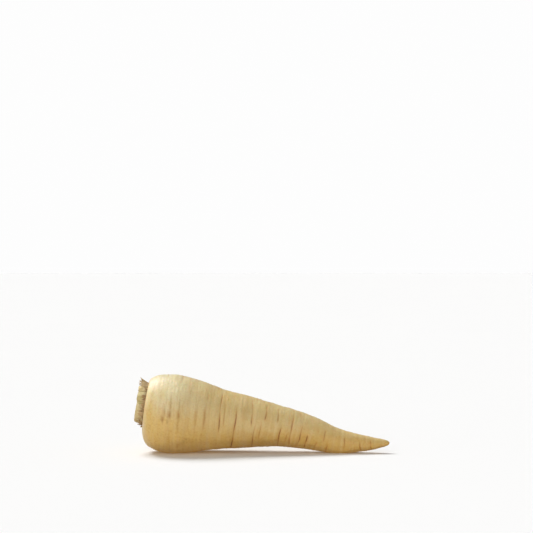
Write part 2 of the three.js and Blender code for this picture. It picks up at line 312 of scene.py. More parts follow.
def listed_arcs():
    """The listed creases, with one or two arcs more round the far side of each, at random places. They are
    drawn as the solids' are, so that both have the same creases."""
    state = SEED

    def draw(low=0.0, high=1.0):
        nonlocal state
        state = (state * 1664525 + 1013904223) % 2 ** 32
        return low + (high - low) * state / 2 ** 32

    arcs = []
    for x, start, end, strength in CREASES:
        arcs.append(Arc(x, (start + end) / 2, (end - start) / 2, strength))
        for k in range(1 if draw() < 0.55 else 2):
            arcs.append(Arc(x, draw(95, 175) + 90 * k, draw(14, 38), draw(0.5, 1)))
    return arcs


# ---------- operators ----------

def deselect():
    """Leaves nothing selected, and leaves edit mode."""
    if bpy.context.object and bpy.context.object.mode != "OBJECT":
        bpy.ops.object.mode_set(mode="OBJECT")
    bpy.ops.object.select_all(action="DESELECT")


def pick(*pieces):
    """Selects these pieces and no other, the first of them active."""
    deselect()
    for piece in pieces:
        piece.select_set(True)
    bpy.context.view_layer.objects.active = pieces[0]


def new_piece(name):
    """Names the primitive just added, and moves its place into its mesh."""
    piece = bpy.context.object
    piece.name = name
    piece.data.name = name
    bpy.ops.object.transform_apply(location=True, rotation=True, scale=True)
    return piece


def finish_with(piece, kind, **settings):
    """Adds a modifier and applies it."""
    pick(piece)
    bpy.ops.object.modifier_add(type=kind)
    modifier = piece.modifiers[-1]
    for name, value in settings.items():
        setattr(modifier, name, value)
    bpy.ops.object.modifier_apply(modifier=modifier.name)


def point_out(piece):
    """Merges doubles and turns every face outwards."""
    pick(piece)
    bpy.ops.object.mode_set(mode="EDIT")
    bpy.ops.mesh.select_all(action="SELECT")
    bpy.ops.mesh.remove_doubles(threshold=1e-6)
    bpy.ops.mesh.normals_make_consistent(inside=False)
    bpy.ops.object.mode_set(mode="OBJECT")


def join(name, pieces):
    """Makes one piece of several."""
    pick(*pieces)
    bpy.ops.object.join()
    whole = bpy.context.object
    whole.name = name
    whole.data.name = name
    return whole


def points_of(piece):
    """The mesh's points in millimetres, one row each."""
    flat = np.empty(len(piece.data.vertices) * 3)
    piece.data.vertices.foreach_get("co", flat)
    return flat.reshape(-1, 3) / MM


def move_points(piece, points):
    """Gives the mesh's points these places, in millimetres."""
    piece.data.vertices.foreach_set("co", (points * MM).ravel())
    piece.data.update()


def write_layer(piece, name, values):
    """Stores a number or a vector for every point, under a name that a material can read."""
    kind, key = ("FLOAT", "value") if values.ndim == 1 else ("FLOAT_VECTOR", "vector")
    layer = piece.data.attributes.get(name) or piece.data.attributes.new(name, kind, "POINT")
    layer.data.foreach_set(key, values.astype(np.float32).ravel())


def read_layer(piece, name):
    """The numbers stored for every point under this name."""
    values = np.empty(len(piece.data.vertices), dtype=np.float32)
    piece.data.attributes[name].data.foreach_get("value", values)
    return values.astype(float)


def noise_at(points, size, seed=0.0):
    """Smooth noise from about -1 to 1 at every point, with features of about this size."""
    offset = Vector((seed, -seed, 2 * seed))
    return np.array([noise.noise(Vector(p) / size + offset) for p in points]) * 1.6


# ---------- root ----------

CAGE_SIDES = 20
CAGE_STEP = 2.6  # from ring to ring of the cage, along the body
CAGE_LEVELS = 3
CAGE_SWELL = 3 / (2 + math.cos(2 * math.pi / CAGE_SIDES))  # makes up for what subdivision takes off
CROWN_PLACES = (1, 2, 3, 4, 5, 6, 7, 7.5, 8, 8.5)  # from the socket's floor over the rim to the shoulder
TIP_PLACES = (1.4, 0.8, 0.35)  # short of the last ring


def cage_places():
    """Where the cage has its rings: closer together over the crown and at the tip than on the body."""
    first, last = RINGS[SHOULDER_RING][0], RINGS[-3][0]
    steps = round((last - first) / CAGE_STEP)
    body = [place_of(first + (last - first) * k / steps) for k in range(1, steps + 1)]
    return [*CROWN_PLACES, *body, *(LAST_RING - short for short in TIP_PLACES)]


def mark_ring(cage, place):
    """Notes on the ring that is selected in edit mode which place it stands at."""
    shape = bmesh.from_edit_mesh(cage.data)
    layer = shape.verts.layers.float.get("place") or shape.verts.layers.float.new("place")
    for point in shape.verts:
        if point.select:
            point[layer] = place
    bmesh.update_edit_mesh(cage.data)


def root_cage(shift):
    """A disc on the socket's floor, extruded ring by ring over the rim and the shoulder to the tip."""
    places = cage_places()
    ring = ring_at(places[0])
    middle = (Vector((ring.x, ring.y, ring.z)) + shift) * MM
    deselect()
    bpy.ops.mesh.primitive_circle_add(
        vertices=CAGE_SIDES,
        radius=ring.radius * CAGE_SWELL * MM,
        fill_type="TRIFAN",
        location=middle,
        rotation=(0, math.pi / 2 + ring.lean, 0),
    )
    cage = new_piece("parsnip_root")
    bpy.ops.object.mode_set(mode="EDIT")
    mark_ring(cage, places[0])
    for place in places[1:]:
        last, ring = ring, ring_at(place)
        step = Vector((ring.x - last.x, ring.y - last.y, ring.z - last.z)) * MM
        middle = middle + step
        bpy.ops.mesh.extrude_region_move(TRANSFORM_OT_translate={"value": step})
        bpy.ops.transform.resize(value=[ring.radius / last.radius] * 3, center_override=middle)
        bpy.ops.transform.rotate(value=last.lean - ring.lean, orient_axis="Y", center_override=middle)
        mark_ring(cage, place)
    bpy.ops.object.mode_set(mode="OBJECT")
    point_out(cage)
    return cage


def straighten(root, shift):
    """For every point: the place of its ring, distance along the root, angle round it, distance from its
    middle, and which way is up in its ring."""
    table_places = np.linspace(1, LAST_RING, 1500)
    table = np.array([ring_at(place) for place in table_places])
    place = read_layer(root, "place")
    x, y, z, _, lean = (np.interp(place, table_places, table[:, c]) for c in range(5))
    offset = points_of(root) - np.array(shift) - np.stack([x, y, z], axis=1)
    up = np.stack([np.sin(lean), 0 * lean, np.cos(lean)], axis=1)
    rise = (offset * up).sum(axis=1)
    angle = np.arctan2(rise, -offset[:, 1])
    return place, x, angle, np.hypot(rise, offset[:, 1]), up


def along_skin(place, x):
    """Distance along the root, but measured over the skin from the shoulder to the rim, where x hardly
    changes."""
    steps = np.linspace(1, SHOULDER_RING, 400)
    rings = np.array([ring_at(step) for step in steps])
    lengths = np.hypot(np.diff(rings[:, 0]), np.diff(rings[:, 3]))
    left = np.append(np.cumsum(lengths[::-1])[::-1], 0)
    return np.where(place < SHOULDER_RING, rings[-1, 0] - np.interp(place, steps, left), x)


def arc_share(angle, arc):
    """1 along a crease's arc, fading to 0 past its ends."""
    off = np.abs((np.degrees(angle) - arc.middle + 540) % 360 - 180) / arc.half
    return 1 - smooth_step(1 - CREASE_FADE, 1 + CREASE_FADE, off)


def arc_distance(x, angle, arc, draw):
    """How far every point is from a crease's wavering line."""
    turn = (angle - math.radians(arc.middle) + math.pi) % (2 * math.pi) - math.pi
    slant = draw.uniform(-0.7, 0.7)
    waver = 0.28 * np.sin(2.6 * turn + draw.uniform(0, 6))
    waver += 0.13 * np.sin(7.3 * turn + draw.uniform(0, 6))
    return x - arc.x - slant * turn - waver


def minor_arcs(draw):
    """Short faint creases between the listed ones, a little closer together towards the tip."""
    return [
        Arc(
            MINOR_START + MINOR_RUN * draw.random() ** 0.85,
            draw.uniform(0, 360),
            draw.uniform(*MINOR_HALF),
            draw.uniform(*MINOR_STRENGTH),
        )
        for _ in range(MINOR_CREASES)
    ]


def crease_relief(x, angle, draw):
    """How deep the creases lie at every point, and how brown they are."""
    depth, brown = np.zeros_like(x), np.zeros_like(x)
    for arc in [*listed_arcs(), *minor_arcs(draw)]:
        away = arc_distance(x, angle, arc, draw)
        width = draw.uniform(*LINE_WIDTH) * (0.7 + 0.35 * arc.strength)
        share = arc.strength * arc_share(angle, arc)
        line = bell(away, width)
        lip = bell(np.abs(away) - LIP_AWAY, LIP_WIDTH)
        depth += share * (LINE_DEPTH * line + DIP_DEPTH * bell(away, DIP_WIDTH) - LIP_HEIGHT * lip)
        patchy = 0.75 + 0.25 * np.sin(draw.uniform(4, 9) * angle + draw.uniform(0, 6))
        soaked = 0.7 * line + 0.3 * bell(away, 1)
        brown = np.maximum(brown, share * soaked * patchy * draw.uniform(0.7, 1))
    return depth, brown


def smear_places(draw):
    """The listed smears, and more at random places round the rest of the root."""
    rest = [[draw.uniform(*span) for span in MORE_SMEAR_RANGES] for _ in range(MORE_SMEARS)]
    return [*SMEARS, *rest]


def smear_share(x, angle, draw):
    """How brown the smears leave every point."""
    share = np.zeros_like(x)
    for along, middle, reach, width, strength in smear_places(draw):
        off = (np.degrees(angle) - middle + 540) % 360 - 180
        share = np.maximum(share, strength * bell(off, reach) * bell(x - along, width))
    return share


def near_shoulder(x, straight, start, end):
    """1 at the shoulder, fading out unevenly between these distances along the root."""
    return 1 - smooth_step(start, end, x + 8 * noise_at(straight, 20, 47))


def painted_highlight_share(x, angle, straight):
    """How far the skin is painted paler: a painted highlight, most on the upper side of the shoulder."""
    upper = smooth_step(-0.15, 0.5, np.sin(angle) + 0.15 * noise_at(straight, 9, 48))
    return near_shoulder(x, straight, *HIGHLIGHT_FADE) * upper


def gold_and_shade_share(x, angle, straight):
    """How golden the skin is: golden patches, and painted warm shade on its lower side and towards the tip.
    """
    low = -np.sin(angle) - np.interp(x, GOLD_AND_SHADE_X, GOLD_AND_SHADE_BELOW)
    patches = 0.22 * noise_at(straight, 16, 41) + 0.12 * noise_at(straight, 5, 43)
    return smooth_step(-0.5, 0.55, low + patches) * smooth_step(2, 7, x)


def out_of_round(x, angle):
    """How far the lobes stand out at every point, as a share of the radius."""
    return sum(
        share * np.sin(count * (angle + math.pi / 2)) * np.cos(phase + x / LOBE_TURN)
        for count, share, phase in LOBES
    )


def relief(straight, layers):
    """The sum of these layers of noise at every point."""
    return sum(
        height * noise_at(straight * (1, squeeze, squeeze), size, seed)
        for height, size, squeeze, seed in layers
    )


def carve_root(root, shift):
    """Lobes, lumps, growth rings and creases, then the two flats that the root lies on."""
    draw = random.Random(SEED)
    place, x, angle, radius, up = straighten(root, shift)
    straight = np.stack([along_skin(place, x), radius * np.cos(angle), radius * np.sin(angle)], axis=1)
    depth, brown = crease_relief(x, angle, draw)
    below_rim = smooth_step(RIM_RING + 1, SHOULDER_RING, place)
    past_rim = smooth_step(RIM_RING - 0.2, RIM_RING + 1.5, place)
    strong = 1 - 0.7 * smooth_step(TIP_X - TIP_CALM, TIP_X, x)
    out = below_rim * (radius * out_of_round(x, angle) + strong * relief(straight, LUMPS) - depth)
    out += past_rim * (strong * relief(straight, GROWTH_RINGS) + relief(straight, BUMPS))
    away = up * np.sin(angle)[:, None] - np.array([0, 1, 0]) * np.cos(angle)[:, None]
    points = points_of(root) + away * out[:, None]
    points[:, 2] = np.maximum(points[:, 2], 0)
    move_points(root, points)

    # painted light: the creases are drawn fainter on the upper side, where the light falls
    upper = smooth_step(-0.1, 0.7, np.sin(angle))
    write_layer(root, "straight", straight * MM)
    write_layer(root, "crease", brown * below_rim * (1 - 0.3 * upper))
    write_layer(root, "smear", smear_share(x, angle, draw))
    # golden patches, and painted warm shade on the lower side and towards the tip
    write_layer(root, "gold_and_shade", gold_and_shade_share(x, angle, straight))
    # painted highlight: paler skin on the upper side of the shoulder
    write_layer(root, "pale", painted_highlight_share(x, angle, straight))
    # brighter gold near the shoulder; the darker gold further on is painted shade towards the tip
    write_layer(root, "near", near_shoulder(x, straight, *BRIGHT_FADE))
    write_layer(root, "shoulder", smooth_step(RIM_RING, SHOULDER_RING + 2, place))


def make_root(shift):
    """The whole root: its cage, smoothed and then carved."""
    root = root_cage(shift)
    finish_with(root, "SUBSURF", levels=CAGE_LEVELS, render_levels=CAGE_LEVELS)
    carve_root(root, shift)
    pick(root)
    bpy.ops.object.shade_smooth()
    return root


# ---------- crown ----------

STALK_CELLS = (2, 6)  # through the stalk and up it, before subdivision
CELLS_PER_RIB = 5  # round it
SCALE_CELLS = (7, 10)  # across a scale and up it
LEAST_CELLS, LEAST_CELLS_BROAD = 5, 8  # how many of a strip's cells tearing leaves at least


def round_the_crown(points):
    """Distance from the crown's axis and angle round it, for every point."""
    return np.hypot(points[:, 0], points[:, 1]), np.arctan2(points[:, 1], points[:, 0])


def unevenness(points, feature, seed):
    """Noise at every point, with a feature's height and size."""
    height, size = feature
    return height * noise_at(points, size, seed)


def back_to_points(radius, angle, height):
    """Points from their distance from the crown's axis, angle round it and height along it."""
    return np.stack([radius * np.cos(angle), radius * np.sin(angle), height], axis=1)


def crease_rim(piece, height):
    """Keeps the outline of the face at this height sharp when the piece is subdivided."""
    pick(piece)
    bpy.ops.object.mode_set(mode="EDIT")
    bpy.ops.mesh.select_mode(type="EDGE")
    bpy.ops.mesh.select_all(action="DESELECT")
    bpy.ops.object.mode_set(mode="OBJECT")
    faces_at = {}
    for face in piece.data.polygons:
        for key in face.edge_keys:
            faces_at.setdefault(key, []).append(face.normal.z)
    for edge in piece.data.edges:
        level = all(abs(piece.data.vertices[i].co.z - height * MM) < 1e-5 for i in edge.vertices)
        edge.select = level and min(faces_at[edge.key]) < 0.5
    bpy.ops.object.mode_set(mode="EDIT")
    bpy.ops.transform.edge_crease(value=0.85)
    bpy.ops.object.mode_set(mode="OBJECT")


def make_stalk(size, seed):
    """A stalk's upright section, spun through its arc, then thinned to its edges, flared and ribbed."""
    cut = CUT_HEIGHT + size.off
    ribs = round(2 * math.radians(size.half) * size.reach / RIB_WIDTH)
    deselect()
    bpy.ops.mesh.primitive_grid_add(
        x_subdivisions=STALK_CELLS[0],
        y_subdivisions=STALK_CELLS[1],
        size=1,
        location=(size.reach * MM, 0, (cut + STALK_FOOT) / 2 * MM),
        rotation=(math.pi / 2, 0, 0),
    )
    bpy.context.object.scale = (size.thick * MM, (cut - STALK_FOOT) * MM, 1)
    stalk = new_piece("stalk")
    bpy.ops.object.mode_set(mode="EDIT")
    bpy.ops.mesh.select_all(action="SELECT")
    bpy.ops.mesh.spin(
        steps=max(ribs * CELLS_PER_RIB, 12),
        angle=2 * math.radians(size.half),
        center=(0, 0, 0),
        axis=(0, 0, 1),
    )
    bpy.ops.object.mode_set(mode="OBJECT")
    point_out(stalk)
    crease_rim(stalk, cut)
    finish_with(stalk, "SUBSURF", levels=2, render_levels=2)
    shape_stalk(stalk, size, cut, ribs, seed)
    write_layer(stalk, "dry", np.full(len(stalk.data.vertices), size.dry))
    return stalk


def shape_stalk(stalk, size, cut, ribs, seed):
    """Bends the plain spun stalk to its form. Share is -1 to 1 round its arc, depth -1 to 1 through it, and
    up 0 to 1 from its foot to its cut."""
    points = points_of(stalk)
    radius, angle = round_the_crown(points)
    height = points[:, 2]
    half = math.radians(size.half)
    centre = (angle.min() + angle.max()) / 2
    share = np.clip((angle - centre) / (angle.max() - centre), -1, 1)
    depth = np.clip((radius - size.reach) / (size.thick / 2), -1, 1)
    skin = np.abs(depth)
    up = (height - STALK_FOOT) / (cut - STALK_FOOT)
    on_cut = (height > cut - 0.02).astype(float)
    flat = np.stack([share * half * size.reach, depth * size.thick / 2, height], axis=1)

    rib = RIB_HEIGHT * np.cos(ribs * math.pi * share) * (1 - share ** 2) * np.clip(depth, 0, 1)
    groove = unevenness(flat * (1, 1, 0.08), GROOVES, seed) * skin
    dent = unevenness(flat, DENTS, seed + 5) * skin
    bent = unevenness(flat * (0.3, 0, 1), BENDS, seed + 7) * up
    outward = size.reach + size.flare * np.interp(height, FLARE_HEIGHTS, FLARE_SHARES) + bent
    radius = outward + depth * size.thick / 2 * np.sqrt(1.08 - share ** 2) + rib + groove + dent
    turn = math.radians(size.middle) + share * half * (1 - 0.08 * up)
    ragged = unevenness(flat, RAGGED_CUT[0], seed + 9) + unevenness(flat, RAGGED_CUT[1], seed + 11)
    lip = CUT_LIP * skin ** 4
    height = height + on_cut * (ragged + lip) - CUT_DROP * up * np.abs(share) ** 3
    move_points(stalk, back_to_points(radius, turn, height))
    write_layer(stalk, "fibre", (flat + (0, 0, seed * 20)) * MM)
    write_layer(stalk, "depth", depth)
    write_layer(stalk, "cut", on_cut)
    write_layer(stalk, "height", height * MM)


def make_heart():
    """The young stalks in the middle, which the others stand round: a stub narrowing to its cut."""
    deselect()
    bpy.ops.mesh.primitive_circle_add(
        vertices=32, radius=HEART[0][1] * MM, fill_type="TRIFAN", location=(0, 0, HEART[0][0] * MM)
    )
    heart = new_piece("heart")
    bpy.ops.object.mode_set(mode="EDIT")
    for (low, wide), (high, narrow) in zip(HEART, HEART[1:]):
        bpy.ops.mesh.extrude_region_move(TRANSFORM_OT_translate={"value": (0, 0, (high - low) * MM)})
        bpy.ops.transform.resize(value=(narrow / wide, narrow / wide, 1), center_override=(0, 0, high * MM))
    bpy.ops.object.mode_set(mode="OBJECT")
    point_out(heart)
    finish_with(heart, "SUBSURF", levels=2, render_levels=2)
    points = points_of(heart)
    radius, angle = round_the_crown(points)
    flat = np.stack([angle * radius.mean(), radius, points[:, 2]], axis=1)
    lumps = unevenness(points, HEART_LUMPS[0], 21) + unevenness(points, HEART_LUMPS[1], 22)
    move_points(heart, points + np.array([0, 0, 1]) * lumps[:, None])
    write_layer(heart, "fibre", flat * MM)
    write_layer(heart, "depth", 0 * radius)
    write_layer(heart, "dry", 0 * radius)
    write_layer(heart, "cut", (points[:, 2] > HEART[-1][0] - 0.3).astype(float) * 0.6)
    write_layer(heart, "height", points[:, 2] * MM)
    return heart


def make_stalks():
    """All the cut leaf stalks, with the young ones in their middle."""
    stalks = [make_stalk(size, seed) for seed, size in enumerate(STALKS + YOUNG_STALKS)]
    return join("cut_leaf_stalks", [*stalks, make_heart()])


def tear_scale(scale, draw, least):
    """Takes strips of cells off the top of a flat scale, so that it ends in ragged fingers."""
    columns, rows = SCALE_CELLS
    ends = [draw.randint(least, rows) for _ in range(columns)]
    shape = bmesh.new()
    shape.from_mesh(scale.data)
    gone = []
    for face in shape.faces:
        middle = face.calc_center_median()
        if int((middle.y + 0.5) * rows) >= ends[int((middle.x + 0.5) * columns)]:
            gone.append(face)
    bmesh.ops.delete(shape, geom=gone, context="FACES")
    shape.to_mesh(scale.data)
    shape.free()


def make_scale(row, angle, draw, seed, pale=0.0):
    """A torn, curled scale, modelled flat, bent round the crown's axis and given its thickness."""
    deselect()
    bpy.ops.mesh.primitive_grid_add(x_subdivisions=SCALE_CELLS[0], y_subdivisions=SCALE_CELLS[1], size=1)
    scale = new_piece("scale")
    tear_scale(scale, draw, LEAST_CELLS_BROAD if pale else LEAST_CELLS)
    top = draw.uniform(row.low, row.high)
    wide = row.width * draw.uniform(*SCALE_WIDTHS)
    skew, curl, tilt = (draw.uniform(*span) for span in (SCALE_SKEW, SCALE_CURL, SCALE_TILT))

    flat = points_of(scale) * MM  # from -0.5 to 0.5 each way
    across, up = flat[:, 0], flat[:, 1] + 0.5
    ragged = noise_at(np.stack([across * 9, 0 * across, 0 * up], axis=1), 1, seed)
    height = SCALE_FOOT + (top - SCALE_FOOT) * up * (1 + 0.1 * ragged * up)
    taper = 1 - SCALE_TAPER * up ** 1.6
    arc = across * wide * taper * (1 + 0.12 * noise_at(flat * 4, 1, seed + 3))
    crumple = unevenness(np.stack([arc, height, 0 * arc], axis=1), CRUMPLES, seed + 6) * (0.3 + up)
    radius = row.reach + (row.lean + tilt) * up ** 2 - curl * arc ** 2 + crumple
    turn = angle + skew * up + arc / row.reach
    move_points(scale, back_to_points(radius, turn, height))
    write_layer(scale, "fibre", np.stack([arc, 0 * arc + seed * 3, height], axis=1) * MM)
    write_layer(scale, "tip", pale + (1 - pale) * up * draw.uniform(0.5, 1))
    finish_with(scale, "SOLIDIFY", thickness=draw.uniform(*SCALE_THICKNESS) * MM, offset=0)
    finish_with(scale, "SUBSURF", levels=1, render_levels=1)
    return scale


def make_collar():
    """The corky ring on the socket's floor that the scales grow from."""
    deselect()
    bpy.ops.mesh.primitive_torus_add(
        major_radius=COLLAR_RADIUS * MM,
        minor_radius=COLLAR_THICKNESS / 2 * MM,
        major_segments=180,
        minor_segments=16,
        location=(0, 0, COLLAR_HEIGHT * MM),
    )
    collar = new_piece("collar")
    points = points_of(collar)
    radius, angle = round_the_crown(points)
    fine, coarse = COLLAR_WRINKLES
    points[:, 2] += unevenness(points * (1, 1, 0.4), fine, 31) + unevenness(points, coarse, 33)
    move_points(collar, points)
    write_layer(collar, "fibre", np.stack([angle * radius, radius, points[:, 2]], axis=1) * MM)
    write_layer(collar, "tip", 0 * radius)
    return collar


def make_strands(draw):
    """Thin dry fibres among the scales, that climb as they wander round the crown."""
    curve = bpy.data.curves.new("strands", "CURVE")
    curve.dimensions = "3D"
    curve.bevel_depth = STRAND_THICKNESS / 2 * MM
    curve.bevel_resolution = 0
    curve.use_fill_caps = True
    for _ in range(STRANDS):
        angle = draw.uniform(0, 2 * math.pi)
        radius, height = draw.uniform(*STRAND_REACH), draw.uniform(*STRAND_FOOT)
        drift, climb, reel = draw.uniform(-0.11, 0.11), draw.uniform(0.1, 0.62), draw.uniform(-0.22, 0.16)
        spline = curve.splines.new("POLY")
        count = draw.randint(6, 9)
        spline.points.add(count - 1)
        for k, point in enumerate(spline.points):
            point.co = (radius * math.cos(angle) * MM, radius * math.sin(angle) * MM, height * MM, 1)
            point.radius = 1.25 - k / count
            drift += draw.uniform(-0.035, 0.035)
            angle += drift
            height += climb
            radius = min(radius + reel + draw.uniform(-0.12, 0.12), STRAND_LIMIT)
    strands = bpy.data.objects.new("strands", curve)
    bpy.context.collection.objects.link(strands)
    pick(strands)
    bpy.ops.object.convert(target="MESH")
    points = points_of(strands)
    write_layer(strands, "fibre", points * MM)
    write_layer(strands, "tip", np.full(len(points), 0.9))
    return strands


def make_scales():
    """All the dry leaf bases: the rows of scales, the broad ones, the collar and the strands."""
    draw = random.Random(SEED + 1)
    scales = []
    for row in SCALE_ROWS:
        for k in range(row.count):
            angle = 2 * math.pi * (k + draw.uniform(-0.35, 0.35)) / row.count
            scales.append(make_scale(row, angle, draw, len(scales)))
    for angle, width, height, lean in BROAD_SCALES:
        row = ScaleRow(1, BROAD_RADIUS, height, height, lean, width)
        scales.append(make_scale(row, math.radians(angle), draw, len(scales), BROAD_PALE))
    return join("torn_leaf_bases", [make_collar(), *scales, make_strands(draw)])


def put_on_crown(piece, shift):
    """Turns a finished piece of the crown from its own axis into place."""
    middle = (CROWN + Vector(shift) - Vector((0, 0, FLAT_SINK))) * MM
    pick(piece)
    piece.matrix_world = Matrix.Translation(middle) @ Matrix.Rotation(CROWN_TILT - math.pi / 2, 4, "Y")
    bpy.ops.object.transform_apply(location=True, rotation=True, scale=True)
    bpy.ops.object.shade_smooth_by_angle(angle=math.radians(50))
    return piece


# ---------- materials ----------

def colour(red, green, blue):
    """A colour as it looks on screen, 0 to 255, as the linear one that Blender takes."""
    def linear(value):
        value /= 255
        return value / 12.92 if value <= 0.04045 else ((value + 0.055) / 1.055) ** 2.4
    return (linear(red), linear(green), linear(blue), 1)


CREAM = colour(222, 198, 138)
# painted highlight: paler cream on top of the shoulder
PAINTED_HIGHLIGHT_CREAM = colour(238, 227, 184)  # on top of the shoulder
# the gold of the patches, which on the lower side is also painted warm shade
GOLD_AND_WARM_SHADE = colour(213, 180, 103)
# brighter near the shoulder, so that the gold further on is painted shade towards the tip
BRIGHT_GOLD = colour(231, 200, 122)  # near the shoulder
DARK_SPECKS = colour(196, 148, 74)
PALE_SPECKS = colour(226, 204, 150)
BROAD_BANDS = colour(190, 150, 86)
FINE_BANDS = colour(174, 134, 74)
PALE_BANDS = colour(230, 214, 172)
DARK_GRAIN = colour(190, 148, 88)
PALE_GRAIN = colour(236, 220, 174)
SMEAR_BROWN = colour(162, 116, 34)
CREASE_HALO = colour(194, 136, 58)
CREASE_BROWN = colour(152, 90, 28)
CREASE_CORE = colour(116, 68, 26)
RIM_TAN = colour(176, 130, 76)
CORK = (colour(104, 78, 38), colour(150, 116, 66))

STALK_GREEN = (colour(186, 176, 112), colour(220, 208, 152))
STALK_TAN = (colour(214, 194, 144), colour(236, 222, 180))
STALK_PALE_FIBRE = colour(224, 212, 160)
STALK_DARK_FIBRE = colour(140, 120, 70)
# painted shade at the stalks' foot, down in the socket
STALK_FOOT_SHADE = colour(126, 94, 58)
PITH = (colour(196, 164, 106), colour(226, 204, 156))
PITH_DOTS = colour(128, 96, 50)
CUT_EDGE = colour(138, 118, 62)

SCALE_BROWN = (colour(136, 103, 70), colour(190, 155, 110))
SCALE_PALE_FIBRE = colour(216, 192, 144)
SCALE_DARK_FIBRE = colour(78, 52, 36)
SCALE_TIP = colour(216, 192, 148)


# The Mix node's sockets, when it mixes colours.
MIX_SHARE, MIX_A, MIX_B, MIX_RESULT = 0, 6, 7, 2


class Finish:
    """A procedural material, built up from a few kinds of node."""

    def __init__(self, name, **values):
        """Values are the same all over, such as Coat_Weight for the shader's Coat Weight."""
        self.material = bpy.data.materials.new(name)
        self.material.use_nodes = True
        self.nodes = self.material.node_tree.nodes
        self.links = self.material.node_tree.links
        self.shader = self.nodes["Principled BSDF"]
        for key, value in values.items():
            self.shader.inputs[key.replace("_", " ")].default_value = value

    def feed(self, socket, value):
        """Gives an input another node's output, or a plain value."""
        if isinstance(value, bpy.types.NodeSocket):
            self.links.new(value, socket)
        else:
            socket.default_value = value

    def add(self, kind, inputs=(), out=0, **settings):
        """Adds a node, sets it up and gives its output."""
        node = self.nodes.new(kind)
        for name, value in settings.items():
            setattr(node, name, value)
        for key, value in dict(inputs).items():
            self.feed(node.inputs[key], value)
        return node.outputs[out]

    def layer(self, name, out="Fac"):
        """What write_layer stored for the piece under this name."""
        return self.add("ShaderNodeAttribute", out=out, attribute_name=name)

    def place(self):
        """Where a point is, in metres."""
        return self.add("ShaderNodeTexCoord", out="Object")

    def stretched(self, vector, scale):
        """A place multiplied on each axis: below 1, a pattern is drawn out along it."""
        return self.add("ShaderNodeMapping", {"Vector": vector, "Scale": scale}, out="Vector")

    def noise(self, vector, scale, detail=3.0, roughness=0.55):
        """Cloudy noise from 0 to 1, mostly near 0.5."""
        inputs = {"Vector": vector, "Scale": scale, "Detail": detail, "Roughness": roughness}
        return self.add("ShaderNodeTexNoise", inputs, out="Fac")

    def spread(self, value, low, high, to_low=0.0, to_high=1.0):
        """Stretches the range from low to high over another one, and cuts off what lies outside it."""
        inputs = {"Value": value, "From Min": low, "From Max": high, "To Min": to_low, "To Max": to_high}
        return self.add("ShaderNodeMapRange", inputs, out="Result")

    def maths(self, kind, a, b):
        """Arithmetic on two numbers, such as ADD. ABSOLUTE takes only the first."""
        return self.add("ShaderNodeMath", {0: a, 1: b}, operation=kind)

    def mix(self, share, a, b):
        """Blends two colours: a where share is 0, b where it is 1."""
        inputs = {MIX_SHARE: share, MIX_A: a, MIX_B: b}
        return self.add("ShaderNodeMix", inputs, out=MIX_RESULT, data_type="RGBA")

    def bump(self, height, distance, strength, normal=None):
        """Relief in the shading alone, its distance in millimetres."""
        inputs = {"Height": height, "Distance": distance * MM, "Strength": strength}
        if normal is not None:
            inputs["Normal"] = normal
        return self.add("ShaderNodeBump", inputs, out="Normal")

    def link(self, **inputs):
        """Links nodes to the shader's inputs, such as Base_Color, and gives the finished material."""
        for name, value in inputs.items():
            self.links.new(value, self.shader.inputs[name.replace("_", " ")])
        return self.material


def skin_ground(skin, mottle, speckle):
    """Cream skin, golden in patches and below, where the gold is partly painted warm shade, with a painted
    highlight on top of the shoulder and dark and pale specks.
    """
    # the gold: golden patches, and painted warm shade below and towards the tip
    gold_and_shade = skin.layer("gold_and_shade")
    # painted highlight: paler cream on top of the shoulder
    cream = skin.mix(skin.layer("pale"), CREAM, PAINTED_HIGHLIGHT_CREAM)
    gold = skin.mix(skin.layer("near"), GOLD_AND_WARM_SHADE, BRIGHT_GOLD)
    patches = skin.maths("MAXIMUM", gold_and_shade, skin.spread(mottle, 0.5, 0.72, 0, 0.6))
    base = skin.mix(patches, cream, gold)
    dotted = skin.maths("MULTIPLY", skin.spread(speckle, 0.5, 0.72), skin.spread(gold_and_shade, 0, 1, 0.2, 0.5))
    base = skin.mix(dotted, base, DARK_SPECKS)
    return skin.mix(skin.spread(speckle, 0.46, 0.3, 0, 0.2), base, PALE_SPECKS)


def skin_streaks(skin, base, straight, bands, across, grain):
    """Bands and fine grain that run round the root."""
    pale = skin.noise(skin.stretched(straight, (1, 0.1, 0.1)), 340, 2, 0.5)
    base = skin.mix(skin.spread(bands, 0.44, 0.68, 0, 0.2), base, BROAD_BANDS)
    base = skin.mix(skin.spread(across, 0.5, 0.74, 0, 0.06), base, FINE_BANDS)
    base = skin.mix(skin.spread(pale, 0.48, 0.74, 0, 0.25), base, PALE_BANDS)
    base = skin.mix(skin.spread(grain, 0.48, 0.74, 0, 0.22), base, DARK_GRAIN)
    return skin.mix(skin.spread(grain, 0.46, 0.26, 0, 0.16), base, PALE_GRAIN)


def skin_marks(skin, base, straight, speckle, grain):
    """Brown smears, creases with a halo and a split core, and the corky edge of the socket."""
    smear = skin.maths("MULTIPLY", skin.layer("smear"), skin.spread(speckle, 0.3, 0.6, 0.55, 1))
    base = skin.mix(skin.spread(smear, 0.05, 0.9, 0, 0.8), base, SMEAR_BROWN)
    crease = skin.layer("crease")
    split = skin.maths("MULTIPLY", crease, skin.spread(grain, 0.3, 0.65, 1.4, 0.9))
    base = skin.mix(skin.spread(crease, 0, 0.35, 0, 0.45), base, CREASE_HALO)
    base = skin.mix(skin.spread(split, 0.2, 0.9, 0, 0.75), base, CREASE_BROWN)
    base = skin.mix(skin.spread(split, 0.5, 0.95, 0, 0.6), base, CREASE_CORE)
    uneven = skin.spread(skin.noise(straight, 260, 3), 0.3, 0.7, -0.03, 0.03)
    edge = skin.maths("ADD", skin.layer("shoulder"), uneven)
    base = skin.mix(skin.spread(edge, 0.02, 0.16, 0.6, 0), base, RIM_TAN)
    cork = skin.mix(skin.spread(speckle, 0.38, 0.62), *CORK)
    return skin.mix(skin.spread(edge, 0.012, 0.05, 1, 0), base, cork)


